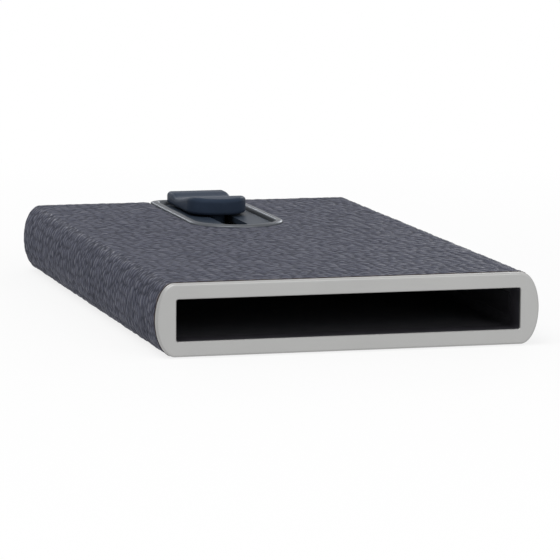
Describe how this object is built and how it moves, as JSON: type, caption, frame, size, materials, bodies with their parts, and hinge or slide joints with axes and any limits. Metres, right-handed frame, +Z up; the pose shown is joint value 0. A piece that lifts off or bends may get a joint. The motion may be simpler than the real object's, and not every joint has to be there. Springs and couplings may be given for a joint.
{
  "type": "card case",
  "caption": "Slim leather-wrapped metal card case with an open mouth at one end and a sliding thumb button on top that pushes the cards out in steps.",
  "frame": {"origin": "on the surface the case lies on, under the middle of its bounding box", "axes": "+X across the case, to the right as one looks into the mouth; +Y along the case, from the mouth to the closed rear end; +Z up, from the underside to the thumb button"},
  "size_m": [0.0614, 0.1, 0.0143],
  "materials": {
    "rim_metal": "fine matte anodised, light grey",
    "bezel_metal": "satin, bright on its crown",
    "tube_metal": "as extruded",
    "track_metal": "satin, slate grey anodised",
    "leather": "pebbled grain, dark grey blue",
    "liner_plastic": "matte black",
    "button_plastic": "soft satin, dark navy",
    "felt": "short black felt",
    "screw_steel": "plain steel"
  },
  "bodies": {
    "case": {"mouth_frame": "rim_metal", "mouth_collar": "liner_plastic", "case_tube": "tube_metal", "leather_wrap": "leather", "rear_cap": "liner_plastic", "rear_leather": "leather", "liner_floor": "liner_plastic", "liner_ceiling": "liner_plastic", "brake_strip_left": "felt", "brake_strip_right": "felt", "cap_screw_left": "screw_steel", "cap_screw_right": "screw_steel", "track_plate": "track_metal", "window_bezel": "bezel_metal", "window_screw_1": "screw_steel", "window_screw_2": "screw_steel", "window_screw_3": "screw_steel", "window_screw_4": "screw_steel"},
    "slider": {"thumb_button": "button_plastic", "slider_carriage": "screw_steel", "carriage_pad_left": "felt", "carriage_pad_right": "felt", "stem_screw_front": "screw_steel", "stem_screw_rear": "screw_steel", "card_pusher": "liner_plastic", "pusher_screw_left": "screw_steel", "pusher_screw_right": "screw_steel"}
  },
  "joints": [
    {"name": "slider_travel", "type": "slide", "parent": "case", "child": "slider", "axis": [0, -1, 0], "range_m": [0, 0.014]}
  ]
}
